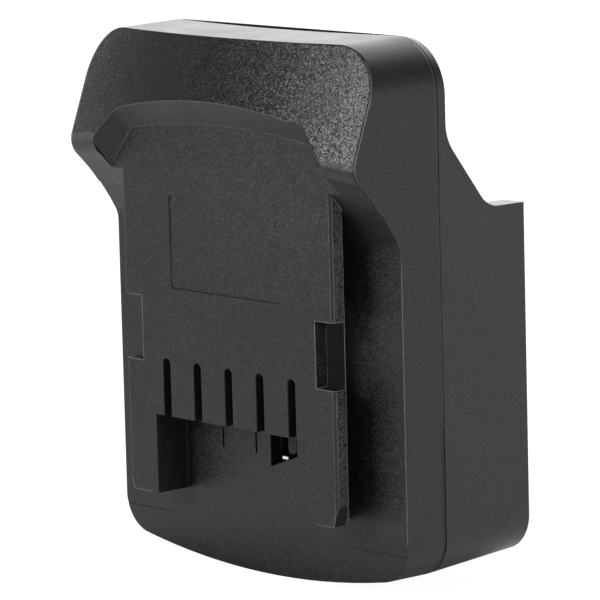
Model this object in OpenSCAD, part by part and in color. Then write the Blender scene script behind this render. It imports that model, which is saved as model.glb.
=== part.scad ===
// Tool battery adapter: slide rails for a cordless tool in front, a receiver for a donor battery behind.
// X runs across, +Y points to the battery side with Y = 0 at the seam of the two shells, +Z points up.
// The origin is in the seam plane, at the lowest point of the arched foot.

/* [Casing] */
// width of the casing
body_w = 76; // [72:1:84]
// height from the foot to the seam at the top
body_h = 96.4; // [94:0.2:106]
// radius of the two top corners
top_corner_r = 9.3; // [6:0.1:13]
// radius of the two foot corners
foot_corner_r = 7; // [4:0.5:10]
// radius of the arched foot
foot_arc_r = 180; // [140:5:260]
// depth of the front shell from the seam to its base face
base_d = 8.9; // [8.6:0.1:11]
// depth of the rear shell from the seam to its rim
rear_d = 20.1; // [19:0.1:26]
// thickness of the outer walls
wall_t = 2.2; // [1.8:0.1:2.4]
// width of the shadow gap along the seam
seam_gap = 0.2; // [0.1:0.05:0.6]
// depth of the shadow gap along the seam
seam_cut = 0.2; // [0.1:0.05:0.6]
// fall of the front shell's top toward the head face, in degrees
top_draft = 2; // [0.5:0.25:3]
// fall of the cap's top away from the seam, in degrees
cap_draft = 12; // [6:1:16]
// rise of the rear shell's foot away from the seam, in degrees
foot_draft = 4.3; // [1:0.1:6]
// depth of the crescent opening gap in the middle of the top seam
relief_d = 2.8; // [1:0.1:3.2]
// width of the crescent opening gap along the top seam
relief_w = 62; // [30:1:64]

/* [Head] */
// height of the head face, from the lip's edge to the top
head_h = 21.5; // [20.5:0.1:22.5]
// lean of the head face from the vertical, in degrees
head_lean = 20; // [17:0.5:22]
// radius of the head's bow across the width
head_bow_r = 200; // [180:5:300]
// reach of the lip's edge in front of the seam, in the middle
lip_reach = 23.45; // [22.95:0.1:24.45]
// rounding of the lip's edge
lip_round = 4; // [2:0.5:4.5]
// radius of the lip's hollow underside
under_r = 48; // [44:1:60]
// slope of the underside at its crease, in degrees
lip_slope = 52.4; // [51:0.2:54]
// drop from the top to the crease
crease_drop = 28.85; // [28.25:0.1:29.45]
// height of the crease over the base face
crease_rise = 4.2; // [3.8:0.1:4.6]
// height of the scoop's apex below the top
scoop_drop = 16; // [14.8:0.1:16.6]
// width of the scoop's ceiling between its corners
scoop_w = 49.8; // [40:0.2:54]
// width of the scoop where it leaves the lip
scoop_mouth_w = 61.4; // [57:0.2:64]
// fall of the scoop's ceiling from the apex to the corners
scoop_sag = 1.9; // [1:0.1:2.6]
// pitch of the scoop's ceiling, in degrees
scoop_pitch = 49; // [45:1:53]
// rounding of the scoop's corners
scoop_round = 4; // [2:0.5:5]

/* [Rails] */
// height of the platform over the base face
rail_rise = 7; // [6.8:0.1:8.5]
// width across the rail flanges
flange_w = 56; // [54:0.5:58]
// thickness of the rail flanges
flange_t = 2.7; // [2:0.1:2.9]
// width across the rail necks
neck_w = 46.2; // [46:0.1:48]
// height of the rails' lower ends
rail_foot_z = 12.8; // [11:0.1:14]
// length of the lead-in taper on the rails' lower ends
lead_in_h = 3.5; // [1:0.5:5]
// inward step of the lead-in taper
lead_in_w = 1; // [0.5:0.1:1.6]
// chamfer on the rails' outer front edges
rail_chamfer = 0.45; // [0.2:0.05:0.8]
// height of the catch notches' lower edge
notch_z = 36.7; // [33.1:0.2:40.1]
// height of the catch notches
notch_h = 11.7; // [8:0.1:14]
// width of the bare label recess
label_w = 30; // [20:1:36]
// height of the bare label recess
label_h = 16.8; // [10:0.2:18]
// depth of the bare label recess
label_d = 0.15; // [0.1:0.05:0.6]

/* [Terminals] */
// distance from the outer contact slots to the sides of the rail necks
slot_margin = 6.26; // [6:0.02:6.6]
// width of a contact slot
slot_w = 2.1; // [1.5:0.1:2.6]
// height of the contact slots' open lower end
slot_z = 27.2; // [26.3:0.1:28.3]
// length of a contact slot
slot_l = 10.45; // [8:0.05:12]
// thickness of the rail legs beside the terminal pocket
leg_t = 2.9; // [2.2:0.1:4]
// width of the test window in the pocket's floor
window_w = 7.1; // [6.6:0.1:7.4]
// thickness of the contact sheet
contact_t = 0.5; // [0.4:0.05:0.7]
// width of the gap that a tool's blade pushes open between a contact's leaves
contact_gap = 0.7; // [0.4:0.05:1]
// thickness of the circuit board
board_t = 1.6; // [1:0.1:2]

/* [Receiver] */
// distance from the seam to the receiver's floor
floor_d = 9.4; // [9.2:0.1:10]
// width of the receiver between its side lips
receiver_w = 66; // [62:0.5:67]
// depth of the guide grooves behind the side lips
groove_w = 2.6; // [1.6:0.1:2.6]
// height of the guide grooves over the receiver's floor
groove_h = 4.2; // [4.1:0.1:5]
// height of the receiver's closed lower end
stop_z = 8; // [7:0.5:10]
// drop from the top to the receiver's side walls
wall_drop = 30; // [26:0.1:33]
// slope of the rear shoulder, in degrees
shoulder_slope = 53; // [48:1:58]
// drop from the top to the corner where the rear shoulder meets the cap
shoulder_drop = 17.3; // [15:0.1:19]
// thickness of the cap behind the head
cap_t = 2; // [1.8:0.1:3]
// thickness of the battery blades
blade_t = 0.8; // [0.5:0.1:1]
// width of the power blades
blade_w = 4.6; // [3:0.1:5]
// height of the power blades' tips
blade_top_z = 27; // [22:0.5:34]
// distance of each power blade from the middle
blade_x = 15; // [13.5:0.5:18]
// diameter of the power leads
lead_dia = 2.4; // [1.6:0.1:3]

/* [Hidden] */
$fn = 96;
arc_fn = 720;
eps = 0.01;
far = 120;
fit = 0.1;
crossing = 0.006;
hw = body_w / 2;

platform_y = -(base_d + rail_rise);
flange_y = platform_y + flange_t;
base_in_y = -(base_d - wall_t);
platform_in_y = platform_y + wall_t;
floor_in_y = floor_d - wall_t;

lip_z = body_h - head_h;
bow_y = head_bow_r - lip_reach;
bow_half = 14;
bow_sag = head_bow_r - sqrt(pow(head_bow_r, 2) - pow(hw, 2));
crease = [-base_d - crease_rise, body_h - crease_drop];
crease_step = 0.12;
under_c = crease - under_r * [sin(lip_slope), cos(lip_slope)];
under_low_r = under_r + crease_step;
heel_r = 5;
heel_y = -base_d - heel_r;
heel_c = [heel_y, under_c[1] + sqrt(pow(under_low_r - heel_r, 2) - pow(heel_y - under_c[0], 2))];

slots = [-2, -1, 0, 1, 2];
slot_pitch = (neck_w / 2 - slot_margin) / 2;
pocket_w = neck_w - 2 * leg_t;
slot_top_z = slot_z + slot_l;
shelf_z = slot_z + wall_t;
bay_rib = 3.2;
carrier_y = base_in_y + fit;
carrier_t = 1.8;
carrier_w = neck_w - 2 * wall_t - 0.8;
carrier_z = 19;
carrier_top_z = 48;
board_y = carrier_y + carrier_t;
board_back_y = board_y + board_t;
board_z = 28;
contact_z = shelf_z + 1.4;
contact_h = 10;
contact_w = 3.4;
tail_w = 1.6;
tail_z = contact_z + contact_h - contact_t;
tail_y = board_back_y + 1.4;
window_x = 2.8;
window_z = 19.6;
window_rise = 2.5;
tongue_w = 2.1;
tongue_x = window_x + window_w - tongue_w - 3 * fit;
tongue_z = window_z + window_rise + 0.4;
tell_w = 1.5;
tell_x = tongue_x - tell_w / 2 - 3 * fit;
tell_z = window_z + window_rise * (tongue_x - 3 * fit - window_x) / window_w + fit;

wall_top_z = body_h - wall_drop;
shoulder_z = body_h - shoulder_drop;
groove_y = floor_d + groove_h;
shoulder_y = cap_t + (shoulder_z - wall_top_z) / tan(shoulder_slope);
block_w = 44;
block_d = 7;
block_h = 7;
blade_y = floor_d + 1.2;
blade_z = stop_z + 1.4;
blade_tail_h = 3.4;
blade_tail_y = 3.2;
lead_y = blade_tail_y + 1.2;
signal_x = 4.2;
signal_w = 3.6;
signal_drop = 3;
signal_dia = 1.2;

catch_w = 18;
catch_z = wall_top_z - 12.1;
catch_h = 5;
catch_d = 4.2;
catch_wall = 1.8;

case_screw_x = 27;
case_screw_z = [18, wall_top_z - 8.1];
case_shank_r = 1.45;
case_head_r = 2.8;
case_head_h = 1.6;
case_seat_y = floor_d - 2;
case_screw_l = case_seat_y - base_in_y - 1.4;
case_boss_r = 3.4;
case_seat_r = 4.2;
carrier_screw_x = 1.9 * slot_pitch;
carrier_screw_z = carrier_top_z - 3;
carrier_shank_r = 1;
carrier_head_r = 2;
carrier_screw_l = 7.5;
carrier_boss_r = 2.8;
block_screw_x = 9.5;
block_screw_z = stop_z + 3.5;
block_shank_r = 1.1;
block_head_r = 2.2;
block_bite = 4;
block_screw_l = wall_t + block_bite;
bore_spare = 0.6;
small_head_h = 1.3;

// Extrudes an X and Z outline from y0 back to y1.
module slab(y0, y1) {
  translate([0, y1, 0])
    rotate([90, 0, 0])
      linear_extrude(y1 - y0)
        children();
}

// Extrudes a Y and Z outline across the width w, centred on x.
module span(w, x = 0) {
  translate([x - w / 2, 0, 0])
    rotate([90, 0, 90])
      linear_extrude(w)
        children();
}

// Box between two opposite corners.
module box(low, high) {
  translate(low)
    cube(high - low);
}

// Round bar along Y at x and z.
module bar(x, z, r, y0, y1) {
  translate([x, y0, z])
    rotate([-90, 0, 0])
      cylinder(r = r, h = y1 - y0);
}

module round_rect(w, h, r) {
  translate([-w / 2, r])
    square([w, h - 2 * r]);
  translate([-w / 2 + r, 0])
    square([w - 2 * r, h]);
  for (x = [-1, 1], z = [r, h - r])
    translate([x * (w / 2 - r), z])
      circle(r);
}

function unit(v) = v / norm(v);

// Points of an arc of radius r that rounds the corner b of the path a, b, c.
function corner(a, b, c, r, n = 6) =
  let (
    u = unit(a - b),
    v = unit(c - b),
    half = acos(u * v) / 2,
    m = b + unit(u + v) * r / sin(half),
    p = b + u * r / tan(half) - m,
    q = b + v * r / tan(half) - m,
    start = atan2(p[1], p[0]),
    full = atan2(q[1], q[0]) - start,
    turn = full > 180 ? full - 360 : full < -180 ? full + 360 : full
  )
  [for (i = [0 : n]) m + r * [cos(start + turn * i / n), sin(start + turn * i / n)]];

// All below the rounded top corners. Corner arcs cross their neighbours at a slight angle.
module top_region(inset) {
  top_x = hw - top_corner_r;
  top_z = body_h - top_corner_r;
  translate([-far, -far])
    square([2 * far, far + top_z]);
  translate([-top_x, 0])
    square([2 * top_x, body_h - inset]);
  for (s = [-1, 1])
    translate([s * top_x, top_z])
      circle(top_corner_r - inset + crossing);
}

// All above the arched foot and its rounded corners.
module foot_region(inset) {
  foot_x = hw - foot_corner_r;
  foot_z = foot_arc_r - sqrt(pow(foot_arc_r - foot_corner_r, 2) - pow(foot_x, 2));
  reach = 1.1;
  low = [foot_x * reach, foot_arc_r + (foot_z - foot_arc_r) * reach];
  translate([-far, foot_z])
    square([2 * far, far + body_h]);
  for (s = [-1, 1])
    translate([s * foot_x, foot_z])
      circle(foot_corner_r - inset + crossing);
  intersection() {
    translate([0, foot_arc_r])
      circle(foot_arc_r - inset, $fn = arc_fn);
    polygon([[-foot_x, foot_z], [foot_x, foot_z], low, [-low[0], low[1]]]);
  }
}

// Casing from y0 back to y1, moved inward by inset, its top and foot tilted about the seam.
module casing(y0, y1, inset, top_tilt, foot_tilt) {
  intersection() {
    slab(y0, y1)
      translate([inset - hw, -far])
        square([body_w - 2 * inset, 2 * far + body_h]);
    translate([0, 0, body_h])
      rotate([top_tilt, 0, 0])
        translate([0, 0, -body_h])
          slab(-far, far)
            top_region(inset);
    rotate([foot_tilt, 0, 0])
      slab(-far, far)
        foot_region(inset);
  }
}

// Disc that hollows the lip's underside, seen from the side.
module under_disc(r) {
  translate(under_c)
    circle(r, $fn = arc_fn);
}

// Side view of the head: hollow underside with a small step at the crease.
module head_side() {
  difference() {
    translate([-far, heel_c[1]])
      square([far, body_h]);
    under_disc(under_r);
    intersection() {
      under_disc(under_low_r);
      translate([-far, 0])
        square([far, crease[1]]);
    }
  }
}

// Side view of the fillet between the underside and the base face.
module heel_side() {
  bite = 0.5;
  end = under_c + under_low_r * unit(heel_c - under_c);
  difference() {
    polygon([
      [bite - base_d, heel_c[1]], [-base_d, heel_c[1]], end, end + [0, bite], [bite - base_d, end[1] + bite]
    ]);
    translate(heel_c)
      circle(heel_r + crossing);
  }
}

// Body of the head behind its leaning bowed face.
module head_face() {
  low_z = lip_z - 20;
  high_z = body_h + 2;
  inner = bow_y - 8;
  slant = tan(head_lean);
  translate([0, bow_y, 0])
    rotate(270 - bow_half)
      rotate_extrude(angle = 2 * bow_half, $fn = arc_fn)
        polygon([
          [inner, low_z], [head_bow_r + (lip_z - low_z) * slant, low_z],
          [head_bow_r + (lip_z - high_z) * slant, high_z], [inner, high_z]
        ]);
}

// Rounds the lip's edge on the right of the scoop.
module lip_cut() {
  bulge = 0.015;
  x = (scoop_mouth_w / 2 + hw) / 2;
  around = asin(x / head_bow_r);
  front = [x, bow_y - head_bow_r * cos(around), lip_z];
  n_face = [sin(around) * cos(head_lean), -cos(around) * cos(head_lean), sin(head_lean)];
  run = [tan(head_lean) / cos(around), 1];
  gap = [front[1], front[2]] - under_c;
  a = run * run;
  b = gap * run;
  edge = gap + run * (sqrt(b * b - a * (gap * gap - under_r * under_r)) - b) / a;
  at = atan2(edge[1], edge[0]) - 0.64 * lip_round / under_r * 180 / PI;
  n_under = [0, -cos(at), -sin(at)];
  touch = [0, under_c[0] + under_r * cos(at), under_c[1] + under_r * sin(at)];
  mix = n_face * n_under;
  half = acos(mix) / 2;
  k_face = n_face * front;
  k_under = n_under * touch;
  base_p = ((k_face - mix * k_under) * n_face + (k_under - mix * k_face) * n_under) / (1 - mix * mix);
  ew = unit(cross(n_under, n_face));
  e1 = unit(n_face + n_under);
  e2 = cross(ew, e1);
  at_p = base_p + ew * (x - base_p[0]) / ew[0];
  depth = (lip_round - bulge) / cos(half);
  reach = 2 * lip_round;
  multmatrix([
    [e1[0], e2[0], ew[0], at_p[0]],
    [e1[1], e2[1], ew[1], at_p[1]],
    [e1[2], e2[2], ew[2], at_p[2]]
  ])
    translate([0, 0, -(x - scoop_mouth_w / 2) - 3])
      linear_extrude(hw - scoop_mouth_w / 2 + 6)
        difference() {
          translate([lip_round * cos(half) - depth, -reach])
            square(2 * reach);
          translate([-depth, 0])
            circle(lip_round);
        }
}

// Crescent scoop in the lip, its floor level with the platform.
module scoop() {
  ceiling_z = body_h - scoop_drop;
  corner_p = [scoop_w / 2, ceiling_z - scoop_sag];
  mouth_p = [scoop_mouth_w / 2, ceiling_z - 9];
  arc_r = (pow(scoop_w / 2, 2) + pow(scoop_sag, 2)) / (2 * scoop_sag);
  arc_to = 20;
  arc_p = [for (x = [-arc_to : 4 : arc_to])
    [x, ceiling_z - arc_r + sqrt(pow(arc_r, 2) - pow(x, 2))]];
  right = corner(mouth_p, corner_p, arc_p[len(arc_p) - 1], scoop_round);
  left = [for (i = [len(right) - 1 : -1 : 0]) [-right[i][0], right[i][1]]];
  low_z = 40;
  path = concat(
    [[-mouth_p[0], low_z], [mouth_p[0], low_z], mouth_p],
    right,
    [for (i = [len(arc_p) - 1 : -1 : 0]) arc_p[i]],
    left,
    [[-mouth_p[0], mouth_p[1]]]
  );
  shift = sin(scoop_pitch) * platform_y;
  intersection() {
    rotate([90 - scoop_pitch, 0, 0])
      linear_extrude(2 * far)
        polygon([for (p = path) [p[0], shift + cos(scoop_pitch) * p[1]]]);
    box([-hw - 1, -far, 0], [hw + 1, platform_y, body_h + 20]);
  }
}

// Platform with its two undercut rails.
module rails() {
  side = flange_w / 2;
  tip = side - lead_in_w;
  taper_z = rail_foot_z + lead_in_h;
  intersection() {
    slab(platform_y, flange_y)
      polygon([
        [-tip, rail_foot_z], [tip, rail_foot_z], [side, taper_z],
        [side, lip_z], [-side, lip_z], [-side, taper_z]
      ]);
    linear_extrude(body_h)
      polygon([
        [-side - 1, flange_y + 1], [-side - 1, platform_y + rail_chamfer + 1],
        [rail_chamfer - side, platform_y], [side - rail_chamfer, platform_y],
        [side + 1, platform_y + rail_chamfer + 1], [side + 1, flange_y + 1]
      ]);
  }
  box([-neck_w / 2, flange_y - eps, rail_foot_z], [neck_w / 2, -base_d + eps, lip_z]);
}

module front_cavity() {
  roof_y = -lip_reach + head_h * tan(head_lean) + bow_sag + 1.05 * wall_t;
  roof_z = body_h - wall_t + roof_y * tan(top_draft);
  lean_z = roof_z - (roof_y - platform_in_y) / tan(head_lean);
  wall_r = under_low_r + wall_t;
  join_z = under_c[1] + sqrt(pow(wall_r, 2) - pow(base_in_y - under_c[0], 2));
  intersection() {
    span(body_w)
      union() {
        polygon([[1, -1], [base_in_y, -1], [base_in_y, join_z + 1], [1, join_z + 1]]);
        difference() {
          polygon([
            [1, join_z - 1], [platform_in_y, join_z - 1], [platform_in_y, lean_z],
            [roof_y, roof_z], [1, body_h - wall_t]
          ]);
          under_disc(wall_r);
        }
      }
    casing(-far, 1, wall_t, top_draft, 0);
  }
  side = neck_w / 2 - wall_t;
  box([-side, platform_in_y, shelf_z], [side, base_in_y + eps, crease[1]]);
}

// Crescent gap along the top seam.
module relief() {
  relief_r = (pow(relief_w / 2, 2) + pow(relief_d, 2)) / (2 * relief_d);
  relief_h = 1;
  intersection() {
    translate([0, relief_r - relief_d, body_h - relief_h])
      cylinder(r = relief_r, h = relief_h + 1, $fn = arc_fn);
    box([-relief_w, -far, body_h - 2 * relief_h], [relief_w, 1, body_h + 2]);
  }
}

module slot_cut(x) {
  translate([x, 0])
    union() {
      translate([-slot_w / 2, slot_z - 1])
        square([slot_w, slot_l + 1 - slot_w / 2]);
      translate([0, slot_top_z - slot_w / 2])
        circle(slot_w / 2);
    }
}

// Test window in the pocket's floor, its lower edge rising to the right.
module window_cut() {
  h = shelf_z - window_z;
  translate([window_x, window_z])
    polygon([[0, 0], [window_w, window_rise], [window_w, h], [0, h]]);
}

module front_shell() {
  slit_x = [-10.1, -1.1];
  slit_w = 0.45;
  slit_z = 21.5;
  slit_h = 3.6;
  slit_d = 0.5;
  mark_z = 7.7;
  mark_w = 0.3;
  mark_d = 0.08;
  mark_x = [[-hw - 1, -24.6], [23.2, hw + 1]];
  label_z = notch_z + notch_h + 2.1;
  slot_back_y = -base_d - 0.6;
  notch_x = neck_w / 2 + 0.2;
  color([0.16, 0.16, 0.17])
  difference() {
    union() {
      difference() {
        union() {
          intersection() {
            union() {
              box([-far, -base_d, -1], [far, 0, body_h + 1]);
              intersection() {
                head_face();
                span(2 * far)
                  head_side();
              }
              span(2 * far)
                heel_side();
            }
            casing(-far, 0, 0, top_draft, 0);
          }
          rails();
        }
        scoop();
        lip_cut();
        mirror([1, 0, 0])
          lip_cut();
        front_cavity();
        relief();
      }
      for (s = [-1, 1]) {
        for (z = case_screw_z)
          bar(s * case_screw_x, z, case_boss_r, base_in_y - 0.5, 0);
        bar(s * carrier_screw_x, carrier_screw_z, carrier_boss_r, platform_in_y - 0.5, carrier_y);
      }
    }
    for (s = [-1, 1]) {
      for (z = case_screw_z)
        bar(s * case_screw_x, z, case_shank_r + fit, base_in_y + 1, 1);
      bar(s * carrier_screw_x, carrier_screw_z, carrier_shank_r + fit, platform_in_y + 1, carrier_y + 1);
      box(
        [s > 0 ? notch_x : -flange_w / 2 - 1, platform_y - 1, notch_z],
        [s > 0 ? flange_w / 2 + 1 : -notch_x, flange_y + eps, notch_z + notch_h]
      );
    }
    box([-pocket_w / 2, platform_y - 1, rail_foot_z - 1], [pocket_w / 2, -base_d, slot_z]);
    slab(platform_y - 1, slot_back_y)
      for (i = slots)
        slot_cut(i * slot_pitch);
    slab(-base_d - eps, base_in_y + eps)
      window_cut();
    slab(platform_y - 1, platform_y + label_d)
      translate([0, label_z])
        round_rect(label_w, label_h, 1);
    for (x = slit_x)
      box([x - slit_w / 2, -base_d - eps, slit_z], [x + slit_w / 2, slit_d - base_d, slit_z + slit_h]);
    for (m = mark_x)
      box([m[0], -base_d - 1, mark_z], [m[1], mark_d - base_d, mark_z + mark_w]);
  }
}

// Rear outline of the side view: foot, rim, side wall, shoulder and cap.
module rear_side() {
  cap = [cap_t, body_h + 1];
  knee = [cap_t, shoulder_z];
  seat = [shoulder_y, wall_top_z];
  rim = [rear_d, wall_top_z];
  polygon(concat(
    [[0, -1], [rear_d, -1], rim],
    corner(rim, seat, knee, 5),
    corner(seat, knee, cap, 8),
    [cap, [0, body_h + 1]]
  ));
}

// Hollow of the rear shell below the shoulder.
module rear_cavity() {
  slant = tan(shoulder_slope);
  drop = wall_t / cos(shoulder_slope);
  seam_z = shoulder_z + cap_t * slant - drop;
  intersection() {
    span(body_w)
      polygon([
        [-1, -1], [floor_in_y, -1], [floor_in_y, seam_z - floor_in_y * slant], [-1, seam_z + slant]
      ]);
    casing(-1, floor_d, wall_t, 0, foot_draft);
  }
}

module rear_shell() {
  inner = receiver_w / 2;
  color([0.17, 0.17, 0.18])
  difference() {
    union() {
      difference() {
        intersection() {
          span(body_w + 2)
            rear_side();
          union() {
            casing(seam_gap, rear_d, 0, -cap_draft, foot_draft);
            casing(0, seam_gap, seam_cut, -cap_draft, foot_draft);
          }
        }
        rear_cavity();
        box([-inner, floor_d, stop_z], [inner, rear_d + 1, body_h]);
        box([-inner - groove_w, floor_d, stop_z], [inner + groove_w, groove_y, body_h]);
      }
      for (s = [-1, 1], z = case_screw_z)
        bar(s * case_screw_x, z, case_seat_r, 0, floor_in_y + eps);
      box(
        [-catch_w / 2 - catch_wall, floor_d - catch_d - catch_wall, catch_z - catch_wall],
        [catch_w / 2 + catch_wall, floor_in_y + eps, catch_z + catch_h + catch_wall]
      );
    }
    for (s = [-1, 1], z = case_screw_z) {
      bar(s * case_screw_x, z, case_shank_r + 2 * fit, -1, floor_d + 1);
      bar(s * case_screw_x, z, case_head_r + 2 * fit, case_seat_y, floor_d + 1);
    }
    for (s = [-1, 1])
      bar(s * block_screw_x, block_screw_z, block_shank_r + 2 * fit, floor_in_y - 1, floor_d + 1);
    for (x = [-blade_x, signal_x, blade_x])
      box(
        [x - blade_t / 2 - fit, floor_in_y - 1, blade_z - fit],
        [x + blade_t / 2 + fit, floor_d + 1, blade_z + blade_tail_h + fit]
      );
    box([-catch_w / 2, floor_d - catch_d, catch_z], [catch_w / 2, floor_d + 1, catch_z + catch_h]);
  }
}

// Holes for the contact tails through carrier and board.
module tail_holes() {
  for (i = slots)
    box(
      [i * slot_pitch - tail_w / 2 - fit, carrier_y - 1, tail_z - fit],
      [i * slot_pitch + tail_w / 2 + fit, board_back_y + 1, tail_z + contact_t + fit]
    );
}

module contact_carrier() {
  half = carrier_w / 2;
  rib_front_y = platform_in_y + 2 * fit;
  rib_z = shelf_z + 2 * fit;
  rib_top_z = slot_top_z + 4;
  edge_rib = 1.3;
  gap_w = 2.3;
  color([0.22, 0.22, 0.23])
  difference() {
    union() {
      box([-half, carrier_y, carrier_z], [half, board_y, carrier_top_z]);
      for (i = [-1.5, -0.5, 0.5, 1.5])
        box(
          [i * slot_pitch - bay_rib / 2, rib_front_y, rib_z],
          [i * slot_pitch + bay_rib / 2, carrier_y + eps, rib_top_z]
        );
      for (s = [-1, 1])
        box(
          [s > 0 ? half - edge_rib : -half, rib_front_y, rib_z],
          [s > 0 ? half : edge_rib - half, carrier_y + eps, rib_top_z]
        );
      slab(fit - base_d, carrier_y + eps)
        translate([tongue_x + tongue_w / 2, tongue_z])
          round_rect(tongue_w, shelf_z - fit - tongue_z, 0.8);
    }
    tail_holes();
    box([window_x + fit, carrier_y - 1, window_z + 1], [window_x + gap_w, board_y + 1, slot_z]);
    for (s = [-1, 1])
      bar(s * carrier_screw_x, carrier_screw_z, carrier_shank_r + 2 * fit, carrier_y - 1, board_y + 1);
  }
}

// Fork contact: a back strip, two sprung leaves that close on the tool's blade, and a solder tail.
module contact(x) {
  front_y = platform_in_y + 0.8;
  pinch_y = platform_in_y + 2.8;
  root = contact_w / 2;
  pinch = contact_gap / 2;
  mouth = pinch + 0.6;
  translate([x, 0, contact_z])
    linear_extrude(contact_h)
      for (s = [-1, 1])
        polygon([
          [0, carrier_y], [s * root, carrier_y], [s * root, carrier_y - 2 * contact_t],
          [s * (pinch + contact_t), pinch_y], [s * (mouth + contact_t), front_y], [s * mouth, front_y],
          [s * pinch, pinch_y], [s * (root - contact_t), carrier_y - 2 * contact_t],
          [s * (root - contact_t), carrier_y - contact_t], [0, carrier_y - contact_t]
        ]);
  box([x - tail_w / 2, carrier_y - contact_t, tail_z], [x + tail_w / 2, tail_y, tail_z + contact_t]);
}

module contact_positive() {
  color([0.72, 0.58, 0.36])
  contact(slots[0] * slot_pitch);
}

module contact_signal_left() {
  color([0.72, 0.58, 0.36])
  contact(slots[1] * slot_pitch);
}

module contact_signal_middle() {
  color([0.72, 0.58, 0.36])
  contact(slots[2] * slot_pitch);
}

// This contact has a second tail that shows in the test window.
module contact_signal_right() {
  x = slots[3] * slot_pitch;
  low = tell_x - tell_w / 2;
  high = tell_x + tell_w / 2;
  link_h = 1.5;
  color([0.72, 0.58, 0.36]) {
    contact(x);
    box([low, carrier_y - contact_t, tell_z], [high, carrier_y, contact_z + link_h]);
    box([low, carrier_y - contact_t, contact_z], [x, carrier_y, contact_z + link_h]);
    box([low, 2 * fit - base_d, tell_z], [high, carrier_y, tell_z + contact_t]);
  }
}

module contact_negative() {
  color([0.72, 0.58, 0.36])
  contact(slots[4] * slot_pitch);
}

module contact_board() {
  color([0.08, 0.3, 0.16])
  difference() {
    box([-carrier_w / 2, board_y, board_z], [carrier_w / 2, board_back_y, carrier_top_z]);
    tail_holes();
    for (s = [-1, 1])
      bar(s * carrier_screw_x, carrier_screw_z, carrier_shank_r + 2 * fit, board_y - 1, board_back_y + 1);
  }
}

module board_resistors() {
  chip = [3.2, 0.6, 1.6];
  chip_drop = 4;
  chip_pitch = 0.8 * slot_pitch;
  color([0.1, 0.1, 0.11])
  for (i = [-1, 0, 1])
    translate([i * chip_pitch - chip[0] / 2, board_back_y, carrier_top_z - chip_drop])
      cube(chip);
}

module blade_block() {
  slot_top = stop_z + block_h;
  bore_y = floor_in_y + block_screw_l + bore_spare;
  color([0.2, 0.2, 0.21])
  difference() {
    box([-block_w / 2, floor_d, stop_z], [block_w / 2, floor_d + block_d, slot_top]);
    for (x = [-blade_x, signal_x, blade_x])
      box(
        [x - blade_t / 2 - fit, floor_d - 1, blade_z - fit],
        [x + blade_t / 2 + fit, blade_y + blade_w + fit, slot_top + 1]
      );
    for (s = [-1, 1])
      bar(s * block_screw_x, block_screw_z, block_shank_r + fit, floor_d - 1, bore_y);
  }
}

// Upright blade with a chamfered tip and a tail through the receiver's floor.
module blade(x, w, top_z) {
  tip = 1;
  span(blade_t, x)
    polygon([
      [blade_tail_y, blade_z], [blade_y + w, blade_z], [blade_y + w, top_z - tip],
      [blade_y + w - tip, top_z], [blade_y + tip, top_z], [blade_y, top_z - tip],
      [blade_y, blade_z + blade_tail_h], [blade_tail_y, blade_z + blade_tail_h]
    ]);
}

module blade_positive() {
  color([0.78, 0.7, 0.5])
  blade(-blade_x, blade_w, blade_top_z);
}

module blade_negative() {
  color([0.78, 0.7, 0.5])
  blade(blade_x, blade_w, blade_top_z);
}

module blade_signal() {
  color([0.78, 0.7, 0.5])
  blade(signal_x, min(signal_w, blade_w), blade_top_z - signal_drop);
}

function curve(a, b, c, d, t) =
  pow(1 - t, 3) * a + 3 * pow(1 - t, 2) * t * b + 3 * (1 - t) * t * t * c + pow(t, 3) * d;

// Insulated wire from a blade's tail at x0 up to a contact's tail at x1.
module lead(x0, x1, dia) {
  rings = 16;
  sides = 8;
  a = [x0, lead_y, blade_z + blade_tail_h];
  d = [x1, tail_y, tail_z + contact_t / 2];
  b = a + [0, 0, 19];
  c = d + [0, 9, 0];
  path = [for (i = [0 : rings]) curve(a, b, c, d, i / rings)];
  heading = [for (i = [0 : rings])
    i == 0 ? [0, 0, 1] : i == rings ? [0, -1, 0] : unit(path[i + 1] - path[i - 1])];
  points = [for (i = [0 : rings], k = [0 : sides - 1])
    let (
      u = unit(cross(heading[i], [1, 0, 0])),
      v = cross(heading[i], u),
      turn = 360 * (k + 0.5) / sides
    )
    path[i] + dia / 2 * (cos(turn) * u + sin(turn) * v)];
  walls = [for (i = [0 : rings - 1], k = [0 : sides - 1])
    let (n = (k + 1) % sides)
    [i * sides + k, (i + 1) * sides + k, (i + 1) * sides + n, i * sides + n]];
  ends = [[for (k = [0 : sides - 1]) k], [for (k = [sides - 1 : -1 : 0]) rings * sides + k]];
  polyhedron(points, concat(walls, ends), convexity = 4);
}

module lead_positive() {
  color([0.62, 0.06, 0.05])
  lead(-blade_x, slots[0] * slot_pitch, lead_dia);
}

module lead_negative() {
  color([0.06, 0.06, 0.06])
  lead(blade_x, slots[4] * slot_pitch, lead_dia);
}

module lead_signal() {
  color([0.75, 0.7, 0.2])
  lead(signal_x, slots[2] * slot_pitch, signal_dia);
}

// Pan-head screw that points toward -Y, its head's seat at y.
module screw(x, z, y, shank_r, shank_l, head_r, head_h) {
  cross_w = 0.35 * shank_r;
  cross_d = 0.6 * head_h;
  difference() {
    union() {
      bar(x, z, shank_r, y - shank_l, y + eps);
      bar(x, z, head_r, y, y + head_h);
    }
    for (a = [0, 90])
      translate([x, y + head_h, z])
        rotate([0, a, 0])
          cube([1.2 * head_r, 2 * cross_d, 2 * cross_w], center = true);
  }
}

module case_screws() {
  color([0.5, 0.5, 0.52])
  for (s = [-1, 1], z = case_screw_z)
    screw(s * case_screw_x, z, case_seat_y, case_shank_r, case_screw_l, case_head_r, case_head_h);
}

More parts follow.
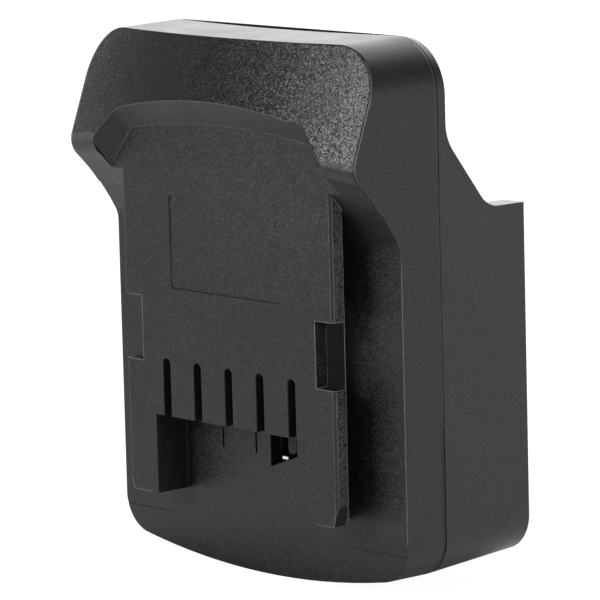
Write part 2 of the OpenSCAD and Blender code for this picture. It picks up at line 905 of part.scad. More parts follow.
module carrier_screws() {
  color([0.5, 0.5, 0.52])
  for (s = [-1, 1])
    screw(
      s * carrier_screw_x, carrier_screw_z, board_back_y,
      carrier_shank_r, carrier_screw_l, carrier_head_r, small_head_h
    );
}

module block_screws() {
  color([0.5, 0.5, 0.52])
  for (s = [-1, 1])
    translate([s * block_screw_x, floor_in_y, block_screw_z])
      rotate([0, 0, 180])
        screw(0, 0, 0, block_shank_r, block_screw_l, block_head_r, small_head_h);
}

front_shell();
rear_shell();
contact_carrier();
contact_positive();
contact_signal_left();
contact_signal_middle();
contact_signal_right();
contact_negative();
contact_board();
board_resistors();
blade_block();
blade_positive();
blade_negative();
blade_signal();
lead_positive();
lead_negative();
lead_signal();
case_screws();
carrier_screws();
block_screws();
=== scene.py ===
import math

import bpy
from mathutils import Matrix, Vector

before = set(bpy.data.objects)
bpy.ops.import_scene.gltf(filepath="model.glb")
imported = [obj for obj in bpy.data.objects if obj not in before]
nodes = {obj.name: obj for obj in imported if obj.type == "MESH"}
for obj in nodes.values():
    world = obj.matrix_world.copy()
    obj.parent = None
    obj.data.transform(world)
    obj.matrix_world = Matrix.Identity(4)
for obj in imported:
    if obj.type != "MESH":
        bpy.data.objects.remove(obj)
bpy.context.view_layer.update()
print("frame loaded:", len(nodes), "nodes")


# shared shader tools, where tree is the node tree of a material, a group or the world

metre = 1000.0  # in millimetres


def connect(tree, sockets, sources):
    # an output is linked, a number or tuple becomes the socket's own value
    for key, source in sources.items():
        if isinstance(source, bpy.types.NodeSocket):
            tree.links.new(source, sockets[key])
        else:
            sockets[key].default_value = source


def addNode(tree, kind, settings=None, inputs=None):
    node = tree.nodes.new(kind)
    for key, value in (settings or {}).items():
        setattr(node, key, value)
    connect(tree, node.inputs, inputs or {})
    return node


def addMath(tree, operation, *sources):
    return addNode(tree, "ShaderNodeMath", {"operation": operation}, dict(enumerate(sources))).outputs[0]


def addVector(tree, operation, inputs):
    return addNode(tree, "ShaderNodeVectorMath", {"operation": operation}, inputs).outputs


def addChain(tree, operation, first, *others):
    for other in others:
        first = addMath(tree, operation, first, other)
    return first


def addProduct(tree, *sources):
    return addChain(tree, "MULTIPLY", *sources)


def addRange(tree, value, start, end, low=0.0, high=1.0):
    # value carried smoothly from start..end to low..high
    node = addNode(tree, "ShaderNodeMapRange", {"interpolation_type": "SMOOTHSTEP"}, {
        "Value": value, "From Min": start, "From Max": end, "To Min": low, "To Max": high})
    return node.outputs["Result"]


def addBetween(tree, mask, low, high):
    # low where the mask is 0, high where it is 1
    return addRange(tree, mask, 0.0, 1.0, low, high)


def addBlend(tree, mask, first, second):
    # colour mix, each side a colour tuple or an output; inputs 6 and 7 and output 2 are the coloured ones
    sides = [(*side, 1) if isinstance(side, tuple) else side for side in (first, second)]
    node = addNode(tree, "ShaderNodeMix", {"data_type": "RGBA"}, {"Factor": mask, 6: sides[0], 7: sides[1]})
    return node.outputs[2]


def addCoords(tree, kind):
    return addNode(tree, "ShaderNodeTexCoord").outputs[kind]


def addAxes(tree, kind):
    # X, Y and Z of a texture coordinate: Object for the place in metres, Normal for the facing
    return addNode(tree, "ShaderNodeSeparateXYZ", inputs={0: addCoords(tree, kind)}).outputs


def addMask(tree, axes, steps):
    # product of smooth steps, each with the name of its axis and the numbers for addRange
    return addProduct(tree, *(addRange(tree, axes[axis], *numbers) for axis, *numbers in steps))


def newGroup(name, inputs, outputs):
    group = bpy.data.node_groups.new(name, "ShaderNodeTree")
    for label, kind, value in inputs:
        socket = group.interface.new_socket(name=label, in_out="INPUT", socket_type="NodeSocket" + kind)
        if value is not None:
            socket.default_value = value
    for label, kind in outputs:
        group.interface.new_socket(name=label, in_out="OUTPUT", socket_type="NodeSocket" + kind)
    return group, addNode(group, "NodeGroupInput").outputs, addNode(group, "NodeGroupOutput").inputs


# groups that the materials share, sizes in millimetres

groupSettings = {
    "facetSmooth": 0.2, "facetMean": (0.5, 0.5, 0.5),
    "cloudDetail": 4.0, "lineDetail": 3.0, "noiseRough": 0.6, "noiseSpread": (0.3, 0.7),
    "edgeSamples": 6, "edgeTurn": (0.965, 0.84),  # cosines where an edge's mask starts and is full
}


def addNoise(tree, settings, coords, size, detail):
    return addNode(tree, "ShaderNodeTexNoise", inputs={
        "Vector": coords, "Scale": addMath(tree, "DIVIDE", metre, size),
        "Detail": detail, "Roughness": settings["noiseRough"]}).outputs["Fac"]


def makeGrainGroup(settings):
    # spark-eroded mould texture: tiny facets, each with its own tilt
    group, entry, leave = newGroup(
        "sparkGrain", [("Size", "Float", 0.35), ("Depth", "Float", 0.3), ("Normal", "Vector", None)],
        [("Normal", "Vector"), ("Speck", "Float")])
    facet = addNode(group, "ShaderNodeTexVoronoi", {"feature": "SMOOTH_F1"}, {
        "Vector": addCoords(group, "Object"), "Scale": addMath(group, "DIVIDE", metre, entry["Size"]),
        "Smoothness": settings["facetSmooth"]}).outputs["Color"]
    centred = addVector(group, "SUBTRACT", {0: facet, 1: settings["facetMean"]})["Vector"]
    tilt = addVector(group, "SCALE", {0: centred, "Scale": entry["Depth"]})["Vector"]
    turned = addVector(group, "ADD", {0: entry["Normal"], 1: tilt})["Vector"]
    connect(group, leave, {
        "Normal": addVector(group, "NORMALIZE", {0: turned})["Vector"],
        "Speck": addNode(group, "ShaderNodeSeparateColor", inputs={0: facet}).outputs[0]})
    return group


def makeBlotchGroup(settings):
    # slow change of gloss or tone over a face
    group, entry, leave = newGroup(
        "mouldBlotch", [("Size", "Float", 14.0), ("Low", "Float", 0.4), ("High", "Float", 0.5)],
        [("Value", "Float")])
    cloud = addNoise(group, settings, addCoords(group, "Object"), entry["Size"], settings["cloudDetail"])
    connect(group, leave, {
        "Value": addRange(group, cloud, *settings["noiseSpread"], entry["Low"], entry["High"])})
    return group


def makeEdgeGroup(settings):
    # softly broken edges: rounded normal and a mask of the edge
    group, entry, leave = newGroup(
        "softEdge", [("Radius", "Float", 0.3)], [("Normal", "Vector"), ("Edge", "Float")])
    rounded = addNode(group, "ShaderNodeBevel", {"samples": settings["edgeSamples"]}, {
        "Radius": addMath(group, "DIVIDE", entry["Radius"], metre)}).outputs["Normal"]
    facing = addNode(group, "ShaderNodeNewGeometry").outputs["Normal"]
    turn = addVector(group, "DOT_PRODUCT", {0: rounded, 1: facing})["Value"]
    connect(group, leave, {"Normal": rounded, "Edge": addRange(group, turn, *settings["edgeTurn"])})
    return group


def makeStreakGroup(settings):
    # drawn or rolled lines along Z, and flow lines in filled plastic
    group, entry, leave = newGroup(
        "drawnStreak",
        [("Size", "Float", 0.2), ("Stretch", "Float", 12.0), ("Low", "Float", 0.3), ("High", "Float", 0.5)],
        [("Value", "Float"), ("Height", "Float")])
    place = addAxes(group, "Object")
    stretched = addNode(group, "ShaderNodeCombineXYZ", inputs={
        "X": place["X"], "Y": place["Y"], "Z": addMath(group, "DIVIDE", place["Z"], entry["Stretch"])})
    lines = addNoise(group, settings, stretched.outputs[0], entry["Size"], settings["lineDetail"])
    connect(group, leave, {
        "Value": addRange(group, lines, *settings["noiseSpread"], entry["Low"], entry["High"]),
        "Height": lines})
    return group


grainGroup = makeGrainGroup(groupSettings)
blotchGroup = makeBlotchGroup(groupSettings)
edgeGroup = makeEdgeGroup(groupSettings)
streakGroup = makeStreakGroup(groupSettings)
print("shader groups ready")


def placeGroup(tree, group, inputs):
    return addNode(tree, "ShaderNodeGroup", {"node_tree": group}, inputs).outputs


def addGrain(tree, size, depth, normal):
    return placeGroup(tree, grainGroup, {"Size": size, "Depth": depth, "Normal": normal})


def addBlotch(tree, size, low=0.0, high=1.0):
    return placeGroup(tree, blotchGroup, {"Size": size, "Low": low, "High": high})["Value"]


def addEdge(tree, radius):
    return placeGroup(tree, edgeGroup, {"Radius": radius})


def addStreaks(tree, size, stretch, low=0.0, high=1.0):
    return placeGroup(tree, streakGroup, {"Size": size, "Stretch": stretch, "Low": low, "High": high})


def newMaterial(name):
    material = bpy.data.materials.new(name)
    material.use_nodes = True
    return material, material.node_tree, material.node_tree.nodes["Principled BSDF"].inputs


def dress(material, *names):
    for name in names:
        nodes[name].data.materials.clear()
        nodes[name].data.materials.append(material)


def addBump(tree, height, depth, normal=None):
    # depth in millimetres
    inputs = {"Height": height, "Strength": 1.0, "Distance": depth / metre}
    if normal is not None:
        inputs["Normal"] = normal
    return addNode(tree, "ShaderNodeBump", inputs=inputs).outputs["Normal"]


# painted shade along the seam between the shells: none halfway up, darker toward both ends

seamSettings = {"low": (0.034, 0.027), "top": (0.070, 0.075, 0.0, 0.6)}  # heights in metres


def addSeamShade(tree, height):
    return addMath(tree, "MAXIMUM", *(addRange(tree, height, *span) for span in seamSettings.values()))


# front half of the casing: grained head face, finer grain on the platform, satin elsewhere

frontFinish = {
    "grainSize": 0.17, "blotchSize": 14.0, "edgeRadius": 0.3, "headRadius": 0.9,  # millimetres
    "satinGrain": 0.02, "headGrain": 0.2, "stripGrain": 0.3,  # tilt of the grain's facets
    "gloss": 0.335, "roughLow": 0.40, "roughHigh": 0.46,
    "grainGloss": 0.12, "sillRough": 0.5, "rimPolish": 0.2,  # taken from or added to the roughness
    "outerShare": 0.2, "endShare": 0.5, "rimShare": 0.3,  # parts of a mask
    "colourLow": (0.005, 0.005, 0.0052), "colourHigh": (0.017, 0.017, 0.0175),
    "speckLow": (0.0005, 0.0005, 0.0006), "speckHigh": (0.03, 0.03, 0.0305),
    "speckFlat": (0.045, 0.045, 0.0455), "speckStrip": (0.07, 0.07, 0.071), "speckLip": (0.15, 0.15, 0.151),
    # colour of the painted edge highlight
    "colourEdge": (0.3, 0.3, 0.303),
    # smooth steps: axis, start and end (places in metres), then the values there if not 0 and 1
    "masks": {
        # zones
        "head": [("normalZ", 0.04, 0.31), ("normalZ", 0.6, 0.5), ("normalY", -0.6, -0.75)],  # leaning face
        "lip": [("normalZ", -0.25, 0.0), ("normalY", -0.6, -0.75), ("z", 0.0715, 0.0725),
                ("y", -0.0175, -0.0185)],  # the rounding below that face
        "flat": [("normalY", -0.97, -0.995)],  # faces toward the tool
        "strip": [("normalSide", 0.97, 0.995), ("across", 0.0298, 0.0292), ("across", 0.0225, 0.0230),
                  ("y", -0.0127, -0.0131)],  # the rails' flanks
        "high": [("z", 0.0685, 0.0705)],  # head with lip and scoop
        "outer": [("across", 0.0215, 0.0225), ("z", 0.0095, 0.0105)],  # rails and what lies outside them
        "corner": [("across", 0.0325, 0.0335)],  # the casing's right and left corners
        "end": [("x", 0.0165, 0.0195)],  # from the scoop's right end on
        "flank": [("normalSide", 0.6, 0.8)],  # faces to the sides
        "sill": [("normalZ", 0.5, 0.8), ("across", 0.0225, 0.0215), ("z", 0.028, 0.030)],  # upward faces
        # grain, and the radius of the label recess
        "flatGrain": [("z", 0.050, 0.066, 0.13, 0.22)],
        "labelRadius": [("z", 0.0505, 0.0660, 0.24, 0.02)],
        # specks, by their own brightness and by place; the place masks paint highlight onto them
        "tone": [("speck", 0.32, 0.68)],
        "salt": [("speck", 0.52, 0.85)],
        "flatTone": [("y", -0.0100, -0.0127, 0.5, 1.0)],
        "upperSpeckHighlight": [("z", 0.045, 0.070), ("y", -0.0140, -0.0150), ("x", -0.025, 0.015, 0.2, 1.0)],
        "flankSpeckHighlight": [("across", 0.0262, 0.0270)],
        "lipSpeckHighlight": [("normalZ", 0.34, 0.25), ("speck", 0.32, 0.85, 0.25, 1.0), ("x", -0.02, 0.02, 0.2, 1.0)],
        # painted highlight along edges
        "cornerHighlight": [("z", 0.0605, 0.0575, 0.25, 0.8)],
        "scoopHighlight": [("x", 0.0225, 0.0215), ("across", 0.0320, 0.0310, 0.0, 0.6)],
        "seamHighlight": [("y", -0.0006, -0.0012, 0.3, 1.0)],
        "rimLight": [("z", 0.0735, 0.0765, 0.15, 1.0), ("y", -0.003, -0.006, 0.25, 1.0)],
        # painted shade: dark lines at the seam and at the foot of the label recess
        "seamShade": [("y", -0.0008, 0.0, 0.0, 0.6)],
        "labelShade": [("z", 0.0518, 0.0512), ("z", 0.0492, 0.0496), ("across", 0.0165, 0.0158, 0.0, 0.8),
                     ("edge", 0.0, 0.4)],
    },
}


def makeFrontPlastic(settings):
    material, tree, shader = newMaterial("frontPlastic")
    place = addAxes(tree, "Object")
    normal = addAxes(tree, "Normal")
    axes = {
        "x": place["X"], "y": place["Y"], "z": place["Z"], "across": addMath(tree, "ABSOLUTE", place["X"]),
        "normalSide": addMath(tree, "ABSOLUTE", normal["X"]), "normalY": normal["Y"], "normalZ": normal["Z"],
    }

    def mask(name, *others):
        return addProduct(tree, addMask(tree, axes, settings["masks"][name]), *others)

    lip, flat, strip = mask("lip"), mask("flat"), mask("strip")
    head = addMath(tree, "MAXIMUM", mask("head"), lip)
    high, outer, corner, end, flank = (mask(name) for name in ("high", "outer", "corner", "end", "flank"))

    # the label recess runs out upward, and the head's corners are rounder than the other edges
    radius = addRange(tree, outer, 0.0, settings["outerShare"], mask("labelRadius"), settings["edgeRadius"])
    turned = addMath(tree, "MAXIMUM", corner, addProduct(tree, end, settings["endShare"]))
    headRadius = addBetween(tree, turned, settings["edgeRadius"], settings["headRadius"])
    edge = addEdge(tree, addBetween(tree, high, radius, headRadius))
    depth = addChain(
        tree, "ADD", settings["satinGrain"], addProduct(tree, head, settings["headGrain"]),
        mask("flatGrain", flat), addProduct(tree, strip, settings["stripGrain"]))
    grain = addGrain(tree, settings["grainSize"], depth, edge["Normal"])
    axes.update(edge=edge["Edge"], speck=grain["Speck"])

    # painted shade on the head's rounded corners and the right end of its scoop, which are also glossier
    rim = addProduct(tree, high, corner, edge["Edge"])
    rimShade = addProduct(
        tree, addRange(tree, rim, 0.0, settings["rimShare"]), addMath(tree, "SUBTRACT", 1.0, flank))
    scoopEnd = addProduct(tree, high, head, end, addRange(tree, edge["Edge"], 0.0, settings["rimShare"]))
    rimShade = addMath(tree, "MAXIMUM", rimShade, scoopEnd)

    # the grain is glossier than the satin, and upward faces between the rails are dull
    grained = addMath(tree, "MAXIMUM", head, strip)
    rough = addBlotch(tree, settings["blotchSize"], settings["roughLow"], settings["roughHigh"])
    rough = addChain(
        tree, "SUBTRACT", rough, addProduct(tree, grained, settings["grainGloss"]),
        addProduct(tree, rimShade, settings["rimPolish"]))
    rough = addMath(tree, "ADD", rough, mask("sill", addBetween(tree, high, settings["sillRough"], 0.0)))

    # light specks on the grain, with painted highlight making them palest on the rails' outer flanks and the
    # lip, and brighter toward the right on the lip and the upper platform
    tone, salt = mask("tone"), mask("salt")
    plain = addBlend(tree, tone, settings["colourLow"], settings["colourHigh"])
    speckled = addBlend(tree, salt, settings["speckLow"], settings["speckHigh"])
    colour = addBlend(tree, addMath(tree, "MAXIMUM", mask("flatTone", flat), grained), plain, speckled)
    colour = addBlend(tree, mask("upperSpeckHighlight", flat, salt), colour, settings["speckFlat"])
    colour = addBlend(tree, mask("flankSpeckHighlight", strip, tone), colour, settings["speckStrip"])
    colour = addBlend(tree, mask("lipSpeckHighlight", lip), colour, settings["speckLip"])
    # painted shade on the rim
    colour = addBlend(tree, rimShade, colour, settings["speckLow"])

    # painted highlight along edges: rails and rim below, scoop rim above, and a light line along the head's
    # corners
    railHighlight = addProduct(tree, outer, addBetween(tree, corner, 1.0, mask("cornerHighlight")))
    edgeHighlight = mask("seamHighlight", edge["Edge"], addBetween(tree, high, railHighlight, mask("scoopHighlight")))
    edgeHighlight = addMath(tree, "MAXIMUM", edgeHighlight, mask("rimLight", rim, flank))

    # painted shade: a black metal reflects next to nothing, so it draws the dark lines at the seam, at the
    # foot of the label recess and on the head's rim
    paintedShade = mask("seamShade", addSeamShade(tree, place["Z"]))
    connect(tree, shader, {
        "Base Color": addBlend(tree, edgeHighlight, colour, settings["colourEdge"]),
        "Metallic": addChain(tree, "MAXIMUM", paintedShade, mask("labelShade"), rimShade),
        "Roughness": rough, "Specular IOR Level": settings["gloss"], "Normal": grain["Normal"]})
    return material


dress(makeFrontPlastic(frontFinish), "front_shell")
print("front shell dressed")


# rear half of the casing: satin all over

rearFinish = {
    "grainSize": 0.22, "blotchSize": 14.0, "edgeRadius": 0.3,  # millimetres
    "grainDepth": 0.05, "roughLow": 0.38, "roughHigh": 0.44, "gloss": 0.38,
    "colourLow": (0.003, 0.003, 0.0032), "colourHigh": (0.019, 0.019, 0.0195),
    # the edge colour paints a highlight along the seam
    "colourEdge": (0.14, 0.14, 0.142),
    "seamHighlight": [("Y", 0.0006, 0.0012)], "seamShade": [("Y", 0.0004, 0.0002)],  # metres
}


def makeRearPlastic(settings):
    material, tree, shader = newMaterial("rearPlastic")
    place = addAxes(tree, "Object")
    edge = addEdge(tree, settings["edgeRadius"])
    grain = addGrain(tree, settings["grainSize"], settings["grainDepth"], edge["Normal"])
    rough = addBlotch(tree, settings["blotchSize"], settings["roughLow"], settings["roughHigh"])
    colour = addBlend(tree, grain["Speck"], settings["colourLow"], settings["colourHigh"])
    # painted highlight on the seam's edges
    edgeHighlight = addProduct(tree, edge["Edge"], addMask(tree, place, settings["seamHighlight"]))
    # painted shade in the seam, darker toward both ends
    paintedShade = addProduct(tree, addMask(tree, place, settings["seamShade"]), addSeamShade(tree, place["Z"]))
    connect(tree, shader, {
        "Base Color": addBlend(tree, edgeHighlight, colour, settings["colourEdge"]), "Metallic": paintedShade,
        "Roughness": rough, "Specular IOR Level": settings["gloss"], "Normal": grain["Normal"]})
    return material


dress(makeRearPlastic(rearFinish), "rear_shell")
print("rear shell dressed")


# contact carrier and blade block: glass-filled nylon with flow lines, sizes in millimetres

carrierFinish = {
    "name": "carrierNylon", "lineSize": 0.5, "lineStretch": 6.0, "lineDepth": 0.02, "edgeRadius": 0.2,
    "roughLow": 0.42, "roughHigh": 0.6, "gloss": 0.22,
    "colourLow": (0.008, 0.008, 0.0085), "colourHigh": (0.02, 0.02, 0.021),
    "colourEdge": (0.05, 0.05, 0.052),
}
blockFinish = {
    "name": "blockNylon", "lineSize": 0.6, "lineStretch": 4.0, "lineDepth": 0.02, "edgeRadius": 0.2,
    "roughLow": 0.4, "roughHigh": 0.56, "gloss": 0.3,
    "colourLow": (0.012, 0.012, 0.0125), "colourHigh": (0.024, 0.024, 0.025),
    "colourEdge": (0.06, 0.06, 0.062),
}


def makeNylon(settings):
    material, tree, shader = newMaterial(settings["name"])
    edge = addEdge(tree, settings["edgeRadius"])
    flow = addStreaks(
        tree, settings["lineSize"], settings["lineStretch"], settings["roughLow"], settings["roughHigh"])
    colour = addBlend(tree, flow["Height"], settings["colourLow"], settings["colourHigh"])
    connect(tree, shader, {
        "Base Color": addBlend(tree, edge["Edge"], colour, settings["colourEdge"]),
        "Roughness": flow["Value"], "Specular IOR Level": settings["gloss"],
        "Normal": addBump(tree, flow["Height"], settings["lineDepth"], edge["Normal"])})
    return material


dress(makeNylon(carrierFinish), "contact_carrier")
dress(makeNylon(blockFinish), "blade_block")
print("carrier and block dressed")


# contacts and blades: tinned sheet with rolling lines, dull patches and bright sheared edges, in millimetres

contactFinish = {
    "name": "tinnedBronze", "lineSize": 0.12, "lineStretch": 30.0, "lineDepth": 0.004, "edgeRadius": 0.12,
    "patchSize": 3.0, "roughLow": 0.22, "roughHigh": 0.4,
    "colourTin": (0.84, 0.83, 0.8), "colourDull": (0.66, 0.6, 0.5), "colourEdge": (0.88, 0.84, 0.76),
    # painted shade behind the tip that shows in the window, place in metres
    "colourRootShade": (0.012, 0.012, 0.012), "root": [("Z", 0.030, 0.028), ("Y", -0.0082, -0.0078)],
}
bladeFinish = {
    "name": "tinnedBrass", "lineSize": 0.15, "lineStretch": 30.0, "lineDepth": 0.004, "edgeRadius": 0.12,
    "patchSize": 3.0, "roughLow": 0.18, "roughHigh": 0.36,
    "colourTin": (0.72, 0.69, 0.62), "colourDull": (0.56, 0.48, 0.32), "colourEdge": (0.82, 0.68, 0.4),
}


def makeTinned(settings):
    material, tree, shader = newMaterial(settings["name"])
    edge = addEdge(tree, settings["edgeRadius"])
    lines = addStreaks(
        tree, settings["lineSize"], settings["lineStretch"], settings["roughLow"], settings["roughHigh"])
    patch = addBlotch(tree, settings["patchSize"])
    colour = addBlend(tree, patch, settings["colourTin"], settings["colourDull"])
    colour = addBlend(tree, edge["Edge"], colour, settings["colourEdge"])
    # painted shade on the contact's root
    if "root" in settings:
        root = addMask(tree, addAxes(tree, "Object"), settings["root"])
        colour = addBlend(tree, root, colour, settings["colourRootShade"])
    connect(tree, shader, {
        "Base Color": colour, "Metallic": 1.0, "Roughness": lines["Value"],
        "Normal": addBump(tree, lines["Height"], settings["lineDepth"], edge["Normal"])})
    return material


dress(makeTinned(contactFinish), "contact_positive", "contact_signal_left", "contact_signal_middle",
      "contact_signal_right", "contact_negative")
dress(makeTinned(bladeFinish), "blade_positive", "blade_negative", "blade_signal")
print("contacts and blades dressed")


# circuit board: green mask over copper tracks, bare laminate at the cut edges

boardFinish = {
    "trackPitch": 2.1, "trackDepth": 0.03, "weaveSize": 0.4, "blotchSize": 4.0,  # millimetres
    "trackShare": 0.45, "trackSoft": 0.1,  # parts of the pitch and of the track
    "weaveStretch": 8.0, "cutFacing": (0.7, 0.3), "roughLow": 0.22, "roughHigh": 0.34,
    "colourMask": (0.006, 0.07, 0.025), "colourTrack": (0.014, 0.13, 0.045),
    "colourLaminate": (0.33, 0.27, 0.13), "colourWeave": (0.231, 0.189, 0.091),
}


def makeBoard(settings):
    material, tree, shader = newMaterial("boardMask")
    halfPitch = settings["trackPitch"] / 2 / metre
    halfTrack = halfPitch * settings["trackShare"]
    soft = halfTrack * settings["trackSoft"]
    fromMiddle = addMath(tree, "PINGPONG", addAxes(tree, "Object")["X"], halfPitch)  # of the nearest track
    track = addRange(tree, fromMiddle, halfTrack + soft, halfTrack - soft)
    facing = addMath(tree, "ABSOLUTE", addAxes(tree, "Normal")["Y"])
    weave = addStreaks(tree, settings["weaveSize"], settings["weaveStretch"])
    colour = addBlend(tree, track, settings["colourMask"], settings["colourTrack"])
    laminate = addBlend(tree, weave["Value"], settings["colourLaminate"], settings["colourWeave"])
    cutFace = addRange(tree, facing, *settings["cutFacing"])
    connect(tree, shader, {
        "Base Color": addBlend(tree, cutFace, colour, laminate),
        "Roughness": addBlotch(tree, settings["blotchSize"], settings["roughLow"], settings["roughHigh"]),
        "Normal": addBump(tree, track, settings["trackDepth"])})
    return material


dress(makeBoard(boardFinish), "contact_board")


# chip resistors: black body with tinned ends, sizes in millimetres

chipFinish = {
    "pitch": 6.736, "bodyHalf": 1.1, "bodySoft": 0.05, "blotchSize": 1.0, "roughLow": 0.3, "roughHigh": 0.45,
    "colourBody": (0.012, 0.012, 0.013), "colourTin": (0.62, 0.62, 0.6),
}


def makeChip(settings):
    material, tree, shader = newMaterial("chipBody")
    halfPitch = settings["pitch"] / 2 / metre
    fromMiddle = addMath(tree, "PINGPONG", addAxes(tree, "Object")["X"], halfPitch)  # of the nearest chip
    half, soft = settings["bodyHalf"], settings["bodySoft"]
    ends = addRange(tree, fromMiddle, (half - soft) / metre, (half + soft) / metre)
    connect(tree, shader, {
        "Base Color": addBlend(tree, ends, settings["colourBody"], settings["colourTin"]), "Metallic": ends,
        "Roughness": addBlotch(tree, settings["blotchSize"], settings["roughLow"], settings["roughHigh"])})
    return material


dress(makeChip(chipFinish), "board_resistors")
print("board dressed")


# leads: soft insulation with faint extrusion waves, sizes in millimetres

leadFinish = {
    "waveSize": 1.5, "waveDepth": 0.05, "toneSize": 5.0, "roughLow": 0.36, "roughHigh": 0.5,
    # each lead's material name and its darkest and lightest colour
    "looks": {
        "lead_positive": ("leadRed", (0.32, 0.012, 0.01), (0.46, 0.02, 0.016)),
        "lead_negative": ("leadBlack", (0.009, 0.009, 0.009), (0.016, 0.016, 0.016)),
        "lead_signal": ("leadYellow", (0.52, 0.36, 0.02), (0.68, 0.5, 0.04)),
    },
}


def makeInsulation(settings, name, darkest, lightest):
    material, tree, shader = newMaterial(name)
    waves = addBlotch(tree, settings["waveSize"], settings["roughLow"], settings["roughHigh"])
    connect(tree, shader, {
        "Base Color": addBlend(tree, addBlotch(tree, settings["toneSize"]), darkest, lightest),
        "Roughness": waves, "Normal": addBump(tree, waves, settings["waveDepth"])})
    return material


for lead, look in leadFinish["looks"].items():
    dress(makeInsulation(leadFinish, *look), lead)
print("leads dressed")


# screws: zinc plate, bright with cloudy passivation, sizes in millimetres

screwFinish = {
    "edgeRadius": 0.15, "cloudSize": 1.2, "cloudDepth": 0.02, "toneSize": 2.5,
    "roughLow": 0.24, "roughHigh": 0.42,
    "colourLow": (0.42, 0.42, 0.43), "colourHigh": (0.62, 0.61, 0.58), "colourEdge": (0.74, 0.74, 0.74),
}


def makeZinc(settings):
    material, tree, shader = newMaterial("screwZinc")
    edge = addEdge(tree, settings["edgeRadius"])
    cloud = addBlotch(tree, settings["cloudSize"], settings["roughLow"], settings["roughHigh"])
    colour = addBlend(
        tree, addBlotch(tree, settings["toneSize"]), settings["colourLow"], settings["colourHigh"])
    connect(tree, shader, {
        "Base Color": addBlend(tree, edge["Edge"], colour, settings["colourEdge"]), "Metallic": 1.0,
        "Roughness": cloud, "Normal": addBump(tree, cloud, settings["cloudDepth"], edge["Normal"])})
    return material


dress(makeZinc(screwFinish), "case_screws", "carrier_screws", "block_screws")
print("screws dressed")


# camera: metres, degrees and millimetres

cameraSettings = {
    "place": (0.5896, -0.5127, 0.1670), "clipStart": 0.01,
    "bearing": 48.92, "height": 8.67, "roll": -1.474,
    "lens": 267.6, "sensor": 36.0,
}


def addCamera(settings):
    bearing, height, roll = (math.radians(settings[key]) for key in ("bearing", "height", "roll"))
    side = Vector((math.cos(bearing), math.sin(bearing), 0))
    level = Vector((math.sin(bearing), -math.cos(bearing), 0))
    back = level * math.cos(height) + Vector((0, 0, math.sin(height)))
    up = back.cross(side)
    right = side * math.cos(roll) + up * math.sin(roll)
    top = up * math.cos(roll) - side * math.sin(roll)
    camera = bpy.data.objects.new("camera", bpy.data.cameras.new("camera"))
    bpy.context.scene.collection.objects.link(camera)
    turn = Matrix((right, top, back)).transposed().to_4x4()
    camera.matrix_world = Matrix.Translation(settings["place"]) @ turn
    camera.data.lens = settings["lens"]
    camera.data.sensor_width = settings["sensor"]
    camera.data.clip_start = settings["clipStart"]
    bpy.context.scene.camera = camera


addCamera(cameraSettings)
print("camera placed")


# studio: pale floor, bright surroundings that fall off overhead, five soft boxes

studio = {
    "floorSize": 4.0, "floorGlow": 0.96, "floorShade": 0.17, "floorWhite": 0.8,
    # what glossy surfaces see of the floor: painted light brighter to the right, and a painted shadow under
    # the part
    "mirrored": [("X", -0.25, 0.25, 0.86, 1.1)],
    "underShadow": [("X", 0.045, 0.030), ("Y", 0.028, 0.012)], "underGlow": 0.2,
    "skyLow": 1.0, "skyHigh": 0.2, "skySpan": (0.03, 0.22),
    "lampAim": (0, 0, 0.05),
    "lamps": [
        {"name": "keyBox", "towards": (-0.29, -0.86, 0.42), "away": 0.8, "size": (0.24, 0.24), "watts": 3.4},
        {"name": "backBox", "towards": (-0.5, 0.65, 0.57), "away": 1.0, "size": (1.2, 1.0), "watts": 12.5},
        {"name": "sideBox", "towards": (0.745, 0.65, 0.14), "away": 1.0, "size": (0.9, 0.26), "watts": 0.7},
        {"name": "rimBox", "towards": (0.95, -0.1, 0.2), "away": 0.8, "size": (0.16, 0.3), "watts": 2.0},
        {"name": "leftBox", "towards": (-0.98, 0.0, 0.2), "away": 0.8, "size": (0.2, 0.4), "watts": 0.4},
    ],
}


def addLamp(settings, aim):
    data = bpy.data.lights.new(settings["name"], "AREA")
    data.shape = "RECTANGLE"
    data.size, data.size_y = settings["size"]
    data.energy = settings["watts"]
    lamp = bpy.data.objects.new(settings["name"], data)
    bpy.context.scene.collection.objects.link(lamp)
    towards = Vector(settings["towards"]).normalized()
    lamp.location = Vector(aim) + towards * settings["away"]
    lamp.rotation_euler = (-towards).to_track_quat("-Z", "Y").to_euler()


def addDiffuse(tree, level):
    return addNode(tree, "ShaderNodeBsdfDiffuse", inputs={"Color": (level, level, level, 1)}).outputs[0]


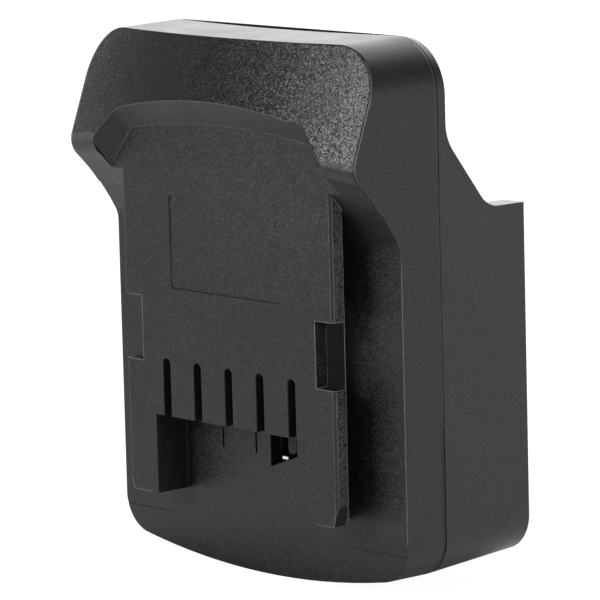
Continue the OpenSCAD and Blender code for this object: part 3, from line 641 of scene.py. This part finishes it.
def makeFloorMaterial(settings):
    # the camera and glossy surfaces see a glowing floor, other rays meet a plain white one
    material = bpy.data.materials.new("paleFloor")
    material.use_nodes = True
    tree = material.node_tree
    tree.nodes.remove(tree.nodes["Principled BSDF"])
    path = addNode(tree, "ShaderNodeLightPath").outputs
    direct = addMath(tree, "MAXIMUM", path["Is Camera Ray"], path["Is Transmission Ray"])
    seen = addMath(tree, "MAXIMUM", direct, path["Is Glossy Ray"])
    place = addAxes(tree, "Object")
    outward = {axis: addMath(tree, "ABSOLUTE", place[axis]) for axis in "XY"}
    # painted shadow under the part and painted light to the right, in what glossy surfaces see
    underShadow = addMask(tree, outward, settings["underShadow"])
    mirrored = addProduct(
        tree, addMask(tree, place, settings["mirrored"]), addBetween(tree, underShadow, 1.0, settings["underGlow"]))
    glow = addNode(tree, "ShaderNodeEmission", inputs={
        "Strength": addBetween(tree, direct, mirrored, settings["floorGlow"])})
    shown = addNode(tree, "ShaderNodeAddShader", inputs={
        0: addDiffuse(tree, settings["floorShade"]), 1: glow.outputs[0]})
    pick = addNode(tree, "ShaderNodeMixShader", inputs={
        0: seen, 1: addDiffuse(tree, settings["floorWhite"]), 2: shown.outputs[0]})
    connect(tree, tree.nodes["Material Output"].inputs, {"Surface": pick.outputs[0]})
    return material


def makeFloor(settings):
    half = settings["floorSize"] / 2
    mesh = bpy.data.meshes.new("floor")
    corners = [(-half, -half, 0), (half, -half, 0), (half, half, 0), (-half, half, 0)]
    mesh.from_pydata(corners, [], [(0, 1, 2, 3)])
    mesh.materials.append(makeFloorMaterial(settings))
    floor = bpy.data.objects.new("floor", mesh)
    bpy.context.scene.collection.objects.link(floor)


def makeWorld(settings):
    world = bpy.data.worlds.new("studio")
    bpy.context.scene.world = world
    world.use_nodes = True
    tree = world.node_tree
    height = addAxes(tree, "Generated")["Z"]
    glow = addRange(tree, height, *settings["skySpan"], settings["skyLow"], settings["skyHigh"])
    connect(tree, tree.nodes["Background"].inputs, {"Color": (1, 1, 1, 1), "Strength": glow})


for lamp in studio["lamps"]:
    addLamp(lamp, studio["lampAim"])
makeFloor(studio)
makeWorld(studio)
print("studio ready")

bpy.context.scene.view_settings.view_transform = "Standard"
